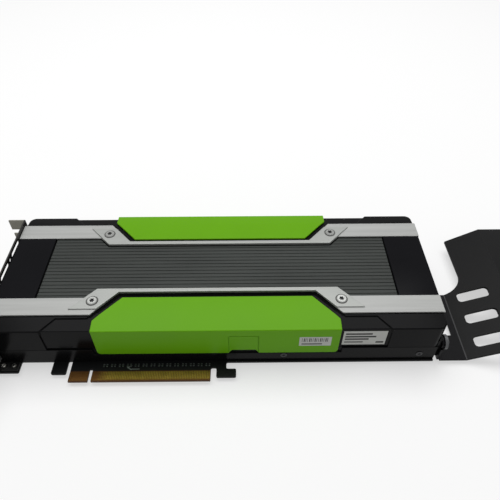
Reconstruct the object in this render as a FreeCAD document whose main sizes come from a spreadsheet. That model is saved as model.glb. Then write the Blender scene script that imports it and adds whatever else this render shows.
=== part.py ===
import FreeCAD, Part
import os
import Sketcher

# Passive accelerator card: a dual-slot, full-height PCI Express board that is cooled by
# the air of its server.  Millimetres.  Origin: middle of the key notch in the board's
# edge, at the finger tips, on the component side.  +X runs towards the tail with the
# power socket, +Y away from the fingers, +Z out of the component side.

# ---------------------------------------------------------------- sizes

SIZES = {
    # circuit board and its edge connector
    "board_thick": 1.57,
    "board_left": 57.15,
    "board_right": 209.55,
    "board_near": 12.6,
    "board_far": 111.15,
    "tongue_left": 12.6,
    "tongue_right": 72.6,
    "key_width": 1.9,
    "key_depth": 8.25,
    "io_edge": 14.4,
    "leg_wide": 13.35,
    "leg_low": 6.5,
    "tab_left": 24.1,
    "tab_right": 15.0,
    "tab_low": 5.2,
    "hook_left": 76.0,
    "hook_right": 82.0,
    "hook_low": 2.2,
    "hook_gap_top": 8.8,
    "toe_right": 88.0,
    "toe_top": 8.0,
    "board_round": 1.0,
    "finger_pitch": 1.0,
    "finger_wide": 0.7,
    "finger_long": 6.0,
    "finger_tip": 0.5,
    "finger_thick": 0.1,
    "finger_margin": 1.1,
    "finger_short_row": 11,
    "finger_long_row": 71,
    "coupling_first": 7.4,
    "coupling_pitch": 4.8,
    "coupling_gap": 1.9,
    "coupling_rows": 14,
    "coupling_wide": 0.9,
    "coupling_long": 1.7,
    "coupling_high": 0.6,
    "coupling_mid": 10.6,
    # air duct: lower frame, shroud and their shared outline
    "duct_short": 0.15,
    "duct_over": 1.25,
    "frame_over": 0.05,
    "near_step": 1.15,
    "seam_high": 12.4,
    "fold_high": 31.2,
    "deck_high": 32.5,
    "shell_wall": 2.0,
    "fold_round": 0.8,
    "corner_round": 4.5,
    "recess_deep": 0.9,
    "frame_floor": 3.2,
    "frame_plate": 2.0,
    "boss_half": 2.8,
    # shapes on top, measured from the middle of the covers and of the duct
    "cover_mid": 77.05,
    "rail_inner": 25.6,
    "rail_outer": 38.3,
    "rail_thick": 1.1,
    "rail_over": 0.5,
    "trim_inner": 19.0,
    "trim_strip": 21.8,
    "trim_outer": 34.5,
    "trim_past": 0.8,
    "trim_foot": 15.2,
    "trim_thick": 0.7,
    "gap_strip": 2.4,
    "gap_foot": 1.4,
    "gap_rail": 1.8,
    "cover_inner": 24.9,
    "cover_wide": 41.8,
    "cover_nip": 15.1,
    "cover_half": 72.3,
    "cover_low": 8.6,
    "cover_thick": 1.4,
    "seat_drop": 0.8,
    "cover_round": 2.5,
    "notch_middle": 15.7,
    "notch_half_low": 8.8,
    "notch_half_top": 7.0,
    "notch_high": 2.6,
    "channel_top": 25.8,
    "channel_deep": 0.4,
    "pocket_long": 29.6,
    "pocket_nip": 7.9,
    "pocket_top": 39.9,
    "pocket_foot": 3.3,
    "pocket_turn": 3.6,
    "window_start": 24.45,
    "window_end": 0.85,
    "window_wide": 25.8,
    "window_narrow": 19.2,
    "plate_thick": 1.0,
    "part_gap": 0.1,
    # processor, memory, power stages
    "package_side": 45.0,
    "package_high": 2.0,
    "die_long": 30.0,
    "die_wide": 26.0,
    "die_high": 0.8,
    "memory_long": 14.0,
    "memory_wide": 12.0,
    "memory_high": 1.1,
    "memory_pitch": 17.0,
    "memory_gap": 2.7,
    "choke_side": 8.0,
    "choke_high": 4.9,
    "choke_pitch": 13.0,
    "choke_rows": 6,
    "choke_out": 72.0,
    "choke_clear": 1.2,
    "stage_side": 5.0,
    "stage_high": 1.0,
    "stage_out": 63.0,
    # heatsink
    "pedestal_gap": 2.6,
    "pedestal_clear": 0.5,
    "sink_plate": 3.6,
    "sink_margin": 0.4,
    "fin_pitch": 2.85,
    "fin_thick": 0.4,
    "fin_lip": 2.55,
    "fin_lip_thick": 0.5,
    "fin_foot": 0.5,
    "fin_below_deck": 0.1,
    "fin_clear": 0.6,
    "side_fin_clear": 0.9,
    "fin_wall_gap": 3.0,
    # back of the card
    "back_gap": 1.5,
    "back_thick": 1.0,
    "back_inset": 3.2,
    "screw_end_io": 14.0,
    "screw_end_tail": 32.0,
    "screw_middle": 53.0,
    "screw_edge": 8.0,
    "screw_head": 2.5,
    "screw_head_high": 0.8,
    "screw_clear": 0.15,
    "sink_screw_out": 26.2,
    # input and output bracket
    "bracket_thick": 1.0,
    "bracket_step": 0.6,
    "bracket_low": 2.84,
    "bracket_high": 35.9,
    "bracket_tab": 104.5,
    "bracket_tab_deep": 10.4,
    "bracket_end": 4.0,
    "bracket_tip": 15.5,
    "bracket_tip_wide": 10.2,
    "slot_pitch": 20.32,
    "slot_first": 5.5,
    "tab_notch_half": 1.9,
    "tab_notch_deep": 7.4,
    "vent_high": 3.4,
    "vent_long": 14.6,
    "vent_pitch": 20.9,
    "vent_first": 17.45,
    "vent_top": 33.8,
    "vent_step": 6.4,
    "vent_columns": 4,
    "vent_rows": 4,
    "vent_nip": 1.1,
    "vent_hole": 1.4,
    "foot_long": 13.5,
    "foot_wide": 6.2,
    "foot_in": 0.9,
    "foot_far_in": 14.0,
    "foot_screw_a": 4.7,
    "foot_screw_b": 10.8,
    "foot_screw_head": 1.8,
    "foot_screw_high": 1.3,
    # tail: power socket and extender bracket
    "socket_over": 1.0,
    "socket_long": 23.1,
    "socket_in": 16.65,
    "socket_wide": 19.6,
    "socket_high": 12.6,
    "socket_pitch": 4.2,
    "cavity_side": 3.4,
    "cavity_deep": 13.0,
    "pin_side": 1.0,
    "pin_long": 9.0,
    "key_rib_wide": 5.4,
    "key_rib_high": 1.6,
    "key_rib_long": 9.0,
    "sheet": 1.5,
    "sheet_bend": 1.0,
    "bend_shift": 0.3,
    "ear_standoff": 2.5,
    "ear_near_wide": 17.0,
    "ear_far_start": 32.2,
    "ear_far_wide": 17.4,
    "ear_near_top": 9.0,
    "ear_far_top": 11.5,
    "ear_lobe": 3.6,
    "ear_round": 1.5,
    "ear_boss_long": 8.0,
    "ear_boss_gap": 0.4,
    "ear_boss_top": 16.0,
    "ear_near_screw": 3.9,
    "ear_near_screw_high": 12.2,
    "ear_far_screw_high": 7.0,
    "ear_screw_head": 4.6,
    "ear_screw_head_high": 2.2,
    "wing_out": 0.95,
    "wing_tab": 12.6,
    "ramp_start": 17.0,
    "ramp_end": 52.4,
    "ramp_rise": 14.7,
    "wing_long": 74.4,
    "cable_notch_in": 50.25,
    "cable_notch_right": 29.4,
    "cable_notch_round": 14.0,
    "wing_far": 0.1,
    "wing_far_end": 3.0,
    "wing_slot_in": 9.75,
    "wing_slot_pitch": 17.7,
    "wing_slot_count": 3,
    "wing_slot_start": 24.0,
    "wing_slot_end": 42.6,
    "wing_slot_wide": 7.6,
    "wing_slot_round": 2.5,
    # screws and labels that show
    "trim_screw_past": 2.0,
    "trim_screw_wide": 28.7,
    "trim_screw_head": 3.7,
    "trim_screw_high": 0.7,
    "side_screw_a": 39.95,
    "side_screw_b": 9.9,
    "side_screw_high": 5.6,
    "side_screw_head": 2.1,
    "side_screw_proud": 0.4,
    "label_thick": 0.1,
    "label_start": 1.8,
    "label_end": 2.2,
    "label_up": 2.4,
    "label_high": 13.4,
    "sticker_start": 48.35,
    "sticker_long": 18.9,
    "sticker_up": 7.4,
    "sticker_high": 8.8,
}

doc = FreeCAD.newDocument("accelerator_card")
sheet = doc.addObject("Spreadsheet::Sheet", "sizes")
for row, (word, number) in enumerate(SIZES.items(), start=1):
    sheet.set(f"A{row}", word)
    sheet.set(f"B{row}", str(number))
    sheet.setAlias(f"B{row}", word)
doc.recompute()


class Length:
    """A length that knows its value and its formula in the sheet's words."""

    def __init__(self, formula, value):
        self.formula = formula
        self.value = value

    def joined(self, sign, other, value):
        return Length(f"({self.formula} {sign} {other.formula})", value)

    def __add__(self, other):
        other = as_length(other)
        return self.joined("+", other, self.value + other.value)

    def __radd__(self, other):
        return as_length(other) + self

    def __sub__(self, other):
        other = as_length(other)
        return self.joined("-", other, self.value - other.value)

    def __rsub__(self, other):
        return as_length(other) - self

    def __mul__(self, factor):
        factor = as_length(factor)
        return self.joined("*", factor, self.value * factor.value)

    def __rmul__(self, factor):
        return as_length(factor) * self

    def __truediv__(self, factor):
        factor = as_length(factor)
        return self.joined("/", factor, self.value / factor.value)

    def __neg__(self):
        return as_length(0) - self


def as_length(number):
    return number if isinstance(number, Length) else Length(str(number), float(number))


def whole(length):
    """The length cut down to a whole number, for counts."""
    return Length(f"floor({length.formula})", float(int(length.value)))


class Sizes:
    """Reads a word of the sheet as a Length."""

    def __getattr__(self, word):
        return Length(f"sizes.{word}", float(sheet.get(word)))


s = Sizes()


# ---------------------------------------------------------------- building blocks

def new_piece(name):
    piece = doc.addObject("PartDesign::Body", name)
    piece.Label = name
    piece.AllowCompound = True
    return piece


def origin_item(piece, role):
    return next(item for item in piece.Origin.OriginFeatures if item.Role == role)


def bind(item, place, length):
    item.setExpression(place, as_length(length).formula)


def pin_point(drawing, index, point, x, y):
    """Hold one point of a drawing at x, y."""
    for kind, length in (("DistanceX", as_length(x)), ("DistanceY", as_length(y))):
        rule = drawing.addConstraint(Sketcher.Constraint(kind, index, point, length.value))
        drawing.setExpression(f"Constraints[{rule}]", length.formula)


def draw_ring(drawing, corners):
    """A closed outline of straight edges, each corner held at its own place."""
    spots = [FreeCAD.Vector(as_length(x).value, as_length(y).value, 0) for x, y in corners]
    first = drawing.GeometryCount
    count = len(spots)
    for k in range(count):
        drawing.addGeometry(Part.LineSegment(spots[k], spots[(k + 1) % count]))
    for k in range(count):
        joint = Sketcher.Constraint("Coincident", first + k, 2, first + (k + 1) % count, 1)
        drawing.addConstraint(joint)
    for k, (x, y) in enumerate(corners):
        pin_point(drawing, first + k, 1, x, y)


def draw_disc(drawing, x, y, radius):
    radius = as_length(radius)
    middle = FreeCAD.Vector(as_length(x).value, as_length(y).value, 0)
    index = drawing.addGeometry(Part.Circle(middle, FreeCAD.Vector(0, 0, 1), radius.value))
    pin_point(drawing, index, 3, x, y)
    rule = drawing.addConstraint(Sketcher.Constraint("Radius", index, radius.value))
    drawing.setExpression(f"Constraints[{rule}]", radius.formula)


def new_drawing(piece, role, offset, shapes):
    """Shapes are outlines (lists of corners) or discs (x, y, radius)."""
    drawing = piece.newObject("Sketcher::SketchObject", f"{piece.Name}_drawing")
    drawing.AttachmentSupport = [(origin_item(piece, role), "")]
    drawing.MapMode = "FlatFace"
    bind(drawing, ".AttachmentOffset.Base.z", offset)
    for shape in shapes:
        if isinstance(shape, tuple):
            draw_disc(drawing, *shape)
        else:
            draw_ring(drawing, shape)
    return drawing


def add(piece, role, low, high, *shapes):
    """Fill the shapes from low to high along the plane's own axis."""
    low = as_length(low)
    high = as_length(high)
    offset = -high if role == "XZ_Plane" else low
    pad = piece.newObject("PartDesign::Pad", f"{piece.Name}_pad")
    pad.Profile = new_drawing(piece, role, offset, shapes)
    bind(pad, "Length", high - low)
    return pad


def cut(piece, role, low, high, *shapes):
    """Take the shapes away from low to high, and make sure that something went."""
    doc.recompute()
    before = piece.Shape.Volume
    low = as_length(low)
    high = as_length(high)
    offset = -low if role == "XZ_Plane" else high
    pocket = piece.newObject("PartDesign::Pocket", f"{piece.Name}_pocket")
    pocket.Profile = new_drawing(piece, role, offset, shapes)
    bind(pocket, "Length", high - low)
    doc.recompute()
    if piece.Shape.Volume >= before:
        raise RuntimeError(f"a pocket of {piece.Name} cuts nothing")
    return pocket


def repeat(piece, features, axis, pitch, count):
    pattern = piece.newObject("PartDesign::LinearPattern", f"{piece.Name}_row")
    pattern.Originals = features
    pattern.Direction = (origin_item(piece, axis), [""])
    pattern.Mode = "Spacing"
    bind(pattern, "Offset", pitch)
    bind(pattern, "Occurrences", count)
    piece.Tip = pattern
    return pattern


def round_edges(piece, radius, wanted):
    """Round the edges of the piece so far that the test picks."""
    doc.recompute()
    base = piece.Tip
    edges = [f"Edge{k}" for k, edge in enumerate(base.Shape.Edges, start=1) if wanted(edge)]
    fillet = piece.newObject("PartDesign::Fillet", f"{piece.Name}_round")
    fillet.Base = (base, edges)
    bind(fillet, "Radius", radius)
    return fillet


def box_ring(x_low, x_high, y_low, y_high):
    return [(x_low, y_low), (x_high, y_low), (x_high, y_high), (x_low, y_high)]


def runs_along(edge, axis):
    """True for a straight edge that lies along the named axis."""
    reach = {"x": edge.BoundBox.XLength, "y": edge.BoundBox.YLength, "z": edge.BoundBox.ZLength}
    along = reach.pop(axis)
    return along > 0.01 and max(reach.values()) < 0.001


def near(number, length):
    return abs(number - as_length(length).value) < 0.01


def span(step, count):
    """Steps from the middle of a row of a given count, one for each piece."""
    return [(k - (count - 1) / 2) * step for k in range(count)]


# ---------------------------------------------------------------- shared places

board_low = -s.board_thick
near_wall = s.board_near + s.near_step
far_wall = s.board_far
duct_mid = (near_wall + far_wall) / 2
duct_half = (far_wall - near_wall) / 2
duct_io = s.board_left - s.duct_short
duct_tail = s.board_right + s.duct_over
frame_tail = s.board_right + s.frame_over
bracket_inner = s.board_left + s.bracket_step
leg_right = s.board_left - s.leg_wide
foot_right = bracket_inner - s.foot_long
deck_low = s.deck_high - s.shell_wall
rail_high = s.deck_high + s.rail_thick
trim_high = rail_high + s.trim_thick
frame_top = s.frame_floor + s.frame_plate
memory_out = duct_half - s.shell_wall - s.memory_gap - s.memory_wide / 2
pedestal_half = memory_out - s.memory_wide / 2 - s.pedestal_gap
sink_window_half = pedestal_half + s.pedestal_clear
die_top = s.package_high + s.die_high
sink_top = frame_top + s.sink_plate
fin_low_top = deck_low - s.side_fin_clear
fin_top = s.deck_high - s.fin_below_deck
half_fin_count = whole(s.window_wide / s.fin_pitch)
fin_count = 2 * half_fin_count
fin_room = duct_half - s.shell_wall - s.fin_wall_gap
side_fin_count = whole(fin_room / s.fin_pitch) - half_fin_count
fin_first = duct_mid - s.fin_pitch * half_fin_count
side_fin_first = fin_first - s.fin_pitch * side_fin_count
far_fin_first = fin_first + s.fin_pitch * fin_count
fins_end = far_fin_first + s.fin_pitch * side_fin_count
socket_tail = frame_tail + s.socket_over
socket_io = socket_tail - s.socket_long
socket_mid = far_wall - s.socket_in
side_screw_columns = [s.cover_mid + s.side_screw_a, frame_tail - s.side_screw_b]
back_high = board_low - s.back_gap
back_low = back_high - s.back_thick
window_io = s.window_start - duct_io
window_tail = socket_io - s.window_end
cover_half_top = s.cover_half - s.cover_nip
gap_half_strip = cover_half_top + s.gap_strip
gap_half_foot = s.cover_half - s.gap_foot
gap_half_rail = s.cover_half + s.gap_rail
trim_half = s.cover_half + s.trim_past
trim_tip = s.cover_half + s.trim_foot
trim_screw_out = s.cover_half + s.trim_screw_past
pocket_half = s.cover_half + s.pocket_long
pocket_half_top = pocket_half - s.pocket_nip
pocket_half_foot = s.cover_half + s.pocket_foot
ear_left = frame_tail + s.ear_standoff
ear_right = ear_left + s.sheet
ear_near_high = near_wall + s.ear_near_wide
ear_far_low = near_wall + s.ear_far_start
ear_far_high = ear_far_low + s.ear_far_wide
ear_screws = [(near_wall + s.ear_near_screw, s.ear_near_screw_high),
              ((ear_far_low + ear_far_high) / 2, s.ear_far_screw_high)]
screw_rows = [s.board_near + s.screw_edge, s.board_far - s.screw_edge]
screw_columns = [s.screw_end_io - s.board_left, s.cover_mid + s.screw_middle,
                 s.board_right - s.screw_end_tail]
board_screws = [(x, y) for x in screw_columns for y in screw_rows]
sink_screws = [(s.cover_mid + a * s.sink_screw_out, duct_mid + b * s.sink_screw_out)
               for a in (-1, 1) for b in (-1, 1)]
foot_near_high = s.board_near + s.foot_in
foot_near_low = foot_near_high - s.foot_wide
foot_far_high = far_wall - s.foot_far_in
foot_far_low = foot_far_high - s.foot_wide
foot_screws = [(s.foot_screw_a - bracket_inner, (foot_near_low + foot_near_high) / 2),
               (s.foot_screw_b - bracket_inner, (foot_near_low + foot_near_high) / 2),
               (s.foot_screw_a - bracket_inner, (foot_far_low + foot_far_high) / 2)]


def outward(side, distance):
    """A place across the duct: side -1 is towards the fingers, +1 away from them."""
    return duct_mid + side * distance


def io_corner(edge):
    """The duct's two upright corners at the bracket's end."""
    spot = edge.BoundBox
    side = near(spot.YMin, near_wall) or near(spot.YMin, far_wall)
    return runs_along(edge, "z") and side and near(spot.XMin, -duct_io)


def bridge(side, *pairs):
    """An outline symmetric about the cover's middle, given by its (half length, distance)
    corners on the tail side, from the first to the last."""
    right = [(s.cover_mid + half, outward(side, out)) for half, out in pairs]
    left = [(s.cover_mid - half, outward(side, out)) for half, out in reversed(pairs)]
    return right + left


def skin(side, inner, outer, end_low):
    """Section across the duct of a skin on its top and side between two depths, counted
    inwards from the outer face, starting at the trim strip and ending at end_low."""
    def point(out, high, depth):
        return (outward(side, out), high - depth)
    return [
        point(s.trim_strip, s.deck_high, inner),
        point(s.rail_outer, s.deck_high, inner),
        point(duct_half - inner, s.fold_high, inner),
        (outward(side, duct_half - inner), end_low),
        (outward(side, duct_half - outer), end_low),
        point(duct_half - outer, s.fold_high, outer),
        point(s.rail_outer, s.deck_high, outer),
        point(s.trim_strip, s.deck_high, outer),
    ]


# ---------------------------------------------------------------- the board and what is on it

def make_circuit_board():
    piece = new_piece("circuit_board")
    outline = [
        (-s.board_left, s.leg_low),
        (-leg_right, s.leg_low),
        (-leg_right, s.io_edge),
        (-s.tab_left, s.io_edge),
        (-s.tab_left, s.tab_low),
        (-s.tab_right, s.tab_low),
        (-s.tab_right, s.io_edge),
        (-s.tongue_left, s.io_edge),
        (-s.tongue_left, 0),
        (-s.key_width / 2, 0),
        (-s.key_width / 2, s.key_depth),
        (s.key_width / 2, s.key_depth),
        (s.key_width / 2, 0),
        (s.tongue_right, 0),
        (s.tongue_right, s.hook_gap_top),
        (s.hook_left, s.hook_gap_top),
        (s.hook_left, s.hook_low),
        (s.toe_right, s.hook_low),
        (s.toe_right, s.toe_top),
        (s.hook_right, s.toe_top),
        (s.hook_right, s.board_near),
        (s.board_right, s.board_near),
        (s.board_right, s.board_far),
        (-s.board_left, s.board_far),
    ]
    add(piece, "XY_Plane", board_low, 0, outline)

    def cut_corner(edge):
        spot = edge.BoundBox
        key = abs(spot.XMin) < s.key_width.value
        tip = spot.YMin < 0.01
        inside = spot.XMin < s.board_right.value - s.board_round.value
        low = spot.YMin < s.io_edge.value + 0.01
        return runs_along(edge, "z") and low and inside and not key and not tip
    round_edges(piece, s.board_round, cut_corner)
    return piece


def make_edge_contacts():
    """Gold fingers on both faces of the tongue, a short and a long row either side of the key."""
    piece = new_piece("edge_contacts")
    half = s.finger_wide / 2
    low = s.finger_tip
    high = s.finger_tip + s.finger_long
    for bottom, top in ((0, s.finger_thick), (board_low - s.finger_thick, board_low)):
        rows = ((-s.tongue_left + s.finger_margin, s.finger_short_row),
                (s.key_width / 2 + s.finger_margin - half, s.finger_long_row))
        for first, count in rows:
            finger = box_ring(first - half, first + half, low, high)
            pad = add(piece, "XY_Plane", bottom, top, finger)
            repeat(piece, [pad], "X_Axis", s.finger_pitch, count)
    return piece


def make_coupling_capacitors():
    piece = new_piece("coupling_capacitors")
    half = s.coupling_wide / 2
    low = s.coupling_mid - s.coupling_long / 2
    high = s.coupling_mid + s.coupling_long / 2
    chips = [box_ring(x - half, x + half, low, high)
             for x in (s.coupling_first, s.coupling_first + s.coupling_gap)]
    pad = add(piece, "XY_Plane", 0, s.coupling_high, *chips)
    repeat(piece, [pad], "X_Axis", s.coupling_pitch, s.coupling_rows)
    return piece


def square(x, y, long, wide):
    return box_ring(x - long / 2, x + long / 2, y - wide / 2, y + wide / 2)


def make_processor():
    package = new_piece("gpu_package")
    side = s.package_side
    add(package, "XY_Plane", 0, s.package_high, square(s.cover_mid, duct_mid, side, side))
    die = new_piece("gpu_die")
    outline = square(s.cover_mid, duct_mid, s.die_long, s.die_wide)
    add(die, "XY_Plane", s.package_high, die_top, outline)
    return [package, die]


def memory_outlines():
    """Two rows of four beside the processor, and two more on its bracket side."""
    rows = [square(s.cover_mid + step, outward(side, memory_out), s.memory_long, s.memory_wide)
            for side in (-1, 1) for step in span(s.memory_pitch, 4)]
    column = [square(s.cover_mid - memory_out, duct_mid + step, s.memory_wide, s.memory_long)
              for step in span(s.memory_pitch, 2)]
    return rows + column


def make_memory():
    chips = new_piece("memory_chips")
    add(chips, "XY_Plane", 0, s.memory_high, *memory_outlines())
    pads = new_piece("thermal_pads")
    add(pads, "XY_Plane", s.memory_high, s.frame_floor, *memory_outlines())
    return [chips, pads]


def make_power_stages():
    chokes = new_piece("chokes")
    side = s.choke_side
    first = duct_mid - s.choke_pitch * (s.choke_rows - 1) / 2
    pad = add(chokes, "XY_Plane", 0, s.choke_high,
              square(s.cover_mid + s.choke_out, first, side, side))
    repeat(chokes, [pad], "Y_Axis", s.choke_pitch, s.choke_rows)
    stages = new_piece("power_stages")
    side = s.stage_side
    pad = add(stages, "XY_Plane", 0, s.stage_high,
              square(s.cover_mid + s.stage_out, first, side, side))
    repeat(stages, [pad], "Y_Axis", s.choke_pitch, s.choke_rows)
    return [chokes, stages]


# ---------------------------------------------------------------- the heatsink

def make_heatsink_base():
    piece = new_piece("heatsink_base")
    low = side_fin_first - s.sink_margin
    high = fins_end + s.sink_margin
    plate = box_ring(window_io + s.sink_margin, window_tail - s.sink_margin, low, high)
    add(piece, "XY_Plane", frame_top, sink_top, plate)
    pedestal = 2 * pedestal_half
    add(piece, "XY_Plane", die_top, frame_top,
        square(s.cover_mid, duct_mid, pedestal, pedestal))
    return piece


def make_fin_stack():
    """Folded sheet fins on a common foot.  The lip of each fin reaches almost to the next
    one, so that the tall fins close the duct's window with a finely lined surface."""
    piece = new_piece("fin_stack")
    left = window_io + s.sink_margin
    right = window_tail - s.sink_margin
    foot_top = sink_top + s.fin_foot
    add(piece, "YZ_Plane", left, right, box_ring(side_fin_first, fins_end, sink_top, foot_top))
    groups = ((side_fin_first, side_fin_count, fin_low_top),
              (fin_first, fin_count, fin_top),
              (far_fin_first, side_fin_count, fin_low_top))
    for first, count, top in groups:
        lip_low = top - s.fin_lip_thick
        fin = [(first, foot_top), (first + s.fin_thick, foot_top),
               (first + s.fin_thick, lip_low), (first + s.fin_lip, lip_low),
               (first + s.fin_lip, top), (first, top)]
        pad = add(piece, "YZ_Plane", left, right, fin)
        repeat(piece, [pad], "Y_Axis", s.fin_pitch, count)
    narrow = s.window_narrow - s.fin_clear
    wide = s.window_wide + s.fin_clear
    reach = trim_half + s.fin_clear
    widen = s.window_wide - s.window_narrow
    shelves = [bridge(side, (reach, narrow), (reach + widen + s.fin_clear, wide))
               for side in (-1, 1)]
    cut(piece, "XY_Plane", fin_low_top, fin_top, *shelves)
    return piece


# ---------------------------------------------------------------- the duct

def make_base_frame():
    """Cast lower half of the duct: two side walls on the board, joined by a plate over the
    parts of the board, with screw bosses and two blocks at the tail for the extender."""
    piece = new_piece("base_frame")
    left = -duct_io
    right = frame_tail
    wall = s.shell_wall
    add(piece, "YZ_Plane", left, right, box_ring(near_wall, far_wall, 0, s.seam_high))
    round_edges(piece, s.corner_round, io_corner)
    air_room = box_ring(near_wall + wall, far_wall - wall, frame_top, s.seam_high)
    board_room = box_ring(near_wall + wall, far_wall - wall, 0, s.frame_floor)
    cut(piece, "YZ_Plane", left, right, air_room, board_room)
    bosses = [square(x, y, 2 * s.boss_half, 2 * s.boss_half) for x, y in board_screws]
    add(piece, "XY_Plane", 0, s.frame_floor, *bosses)
    gap = s.ear_boss_gap
    blocks = [box_ring(near_wall + wall, ear_near_high - gap, s.part_gap, s.ear_boss_top),
              box_ring(ear_far_low + gap, ear_far_high - gap, s.part_gap, s.ear_far_top - gap)]
    add(piece, "YZ_Plane", right - s.ear_boss_long, ear_left, *blocks)

    middle = 2 * sink_window_half
    openings = [
        square(s.cover_mid, duct_mid, middle, middle),
        square(s.cover_mid + s.choke_out, duct_mid, s.choke_side + 2 * s.choke_clear,
               s.choke_pitch * s.choke_rows),
        box_ring(socket_io - s.fin_clear, right, socket_mid - s.socket_wide / 2 - s.fin_clear,
                 socket_mid + s.socket_wide / 2 + s.fin_clear),
    ]
    cut(piece, "XY_Plane", s.frame_floor, frame_top, *openings)

    reach = s.cover_half + s.cover_round
    low = s.cover_low - s.seat_drop
    seat = box_ring(s.cover_mid - reach, s.cover_mid + reach, low, s.seam_high)
    cut(piece, "XZ_Plane", near_wall, near_wall + s.recess_deep, seat)
    cut(piece, "XZ_Plane", far_wall - s.recess_deep, far_wall, seat)
    return piece


def make_shroud():
    """Moulded upper half of the duct: one bent wall with a window for the fins, and on both
    sides a shallow recess that seats the cover and leaves a pocket at each of its ends."""
    shell = new_piece("shroud_shell")
    wall = s.shell_wall
    outside = [
        (near_wall, s.seam_high), (near_wall, s.fold_high),
        (outward(-1, s.rail_outer), s.deck_high), (outward(1, s.rail_outer), s.deck_high),
        (far_wall, s.fold_high), (far_wall, s.seam_high),
    ]
    inside = [
        (near_wall + wall, s.seam_high), (near_wall + wall, s.fold_high - wall),
        (outward(-1, s.rail_outer), deck_low), (outward(1, s.rail_outer), deck_low),
        (far_wall - wall, s.fold_high - wall), (far_wall - wall, s.seam_high),
    ]
    add(shell, "YZ_Plane", -duct_io, duct_tail, outside)

    def upright(edge):
        spot = edge.BoundBox
        side = near(spot.YMin, near_wall) or near(spot.YMin, far_wall)
        return runs_along(edge, "z") and side
    round_edges(shell, s.corner_round, upright)
    cut(shell, "YZ_Plane", -duct_io, duct_tail, inside)
    widen = s.window_wide - s.window_narrow
    window = []
    for side in (-1, 1):
        narrowing = bridge(side, (trim_half + widen, s.window_wide), (trim_half, s.window_narrow))
        rim = [(window_tail, outward(side, s.window_wide))] + narrowing
        rim += [(window_io, outward(side, s.window_wide))]
        window += rim if side < 0 else rim[::-1]
    cut(shell, "XY_Plane", deck_low, s.deck_high, window)

    def long_fold(edge):
        spot = edge.BoundBox
        fold = near(spot.ZMin, s.fold_high)
        return fold and runs_along(edge, "x")
    round_edges(shell, s.fold_round, long_fold)

    recess = new_piece("shroud_recess")
    reach = pocket_half
    low = s.seam_high - s.recess_deep
    skins = [skin(side, -s.recess_deep, s.recess_deep, low) for side in (-1, 1)]
    add(recess, "YZ_Plane", s.cover_mid - reach, s.cover_mid + reach, *skins)
    corners = []
    for side in (-1, 1):
        for hand in (-1, 1):
            spots = [
                (gap_half_strip, s.trim_strip - s.part_gap),
                (pocket_half + s.part_gap, s.trim_strip - s.part_gap),
                (pocket_half + s.part_gap, duct_half),
                (pocket_half, duct_half),
                (pocket_half_top, s.pocket_top),
                (pocket_half_foot, s.pocket_top),
                (gap_half_strip, s.trim_strip),
            ]
            corners.append([(s.cover_mid + hand * a, outward(side, b)) for a, b in spots])
    cut(recess, "XY_Plane", s.fold_high - s.pocket_turn, rail_high, *corners)

    piece = doc.addObject("Part::Cut", "shroud")
    piece.Base = shell
    piece.Tool = recess
    piece.Label = "shroud"
    return piece


def make_rail(name, side, hand):
    """Bright rail along the shroud's deck; hand -1 is the bracket's half, +1 the tail's."""
    piece = new_piece(name)
    end = -duct_io - s.rail_over if hand < 0 else duct_tail + s.rail_over
    outline = [
        (end, outward(side, s.rail_inner)),
        (end, outward(side, s.rail_outer)),
        (s.cover_mid + hand * gap_half_rail, outward(side, s.rail_outer)),
        (s.cover_mid + hand * gap_half_foot, outward(side, s.trim_outer)),
        (s.cover_mid + hand * (gap_half_strip + (s.rail_inner - s.trim_strip)),
         outward(side, s.rail_inner)),
    ]
    add(piece, "XY_Plane", s.deck_high, rail_high, outline)
    return piece


def make_trim(name, side):
    """Bright bridge that ties two rails together past the cover, with a rim down to the deck."""
    piece = new_piece(name)
    outline = bridge(side, (trim_half, s.trim_inner), (trim_tip, s.trim_outer),
                     (gap_half_foot, s.trim_outer), (gap_half_strip, s.trim_strip))
    add(piece, "XY_Plane", rail_high, trim_high, outline)
    edge = s.rail_inner - s.part_gap
    grow = edge - s.trim_inner
    rim = bridge(side, (trim_half, s.trim_inner), (trim_half + grow, edge),
                 (gap_half_strip + (edge - s.trim_strip), edge),
                 (gap_half_strip, s.trim_strip))
    add(piece, "XY_Plane", s.deck_high, rail_high, rim)
    return piece


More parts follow.
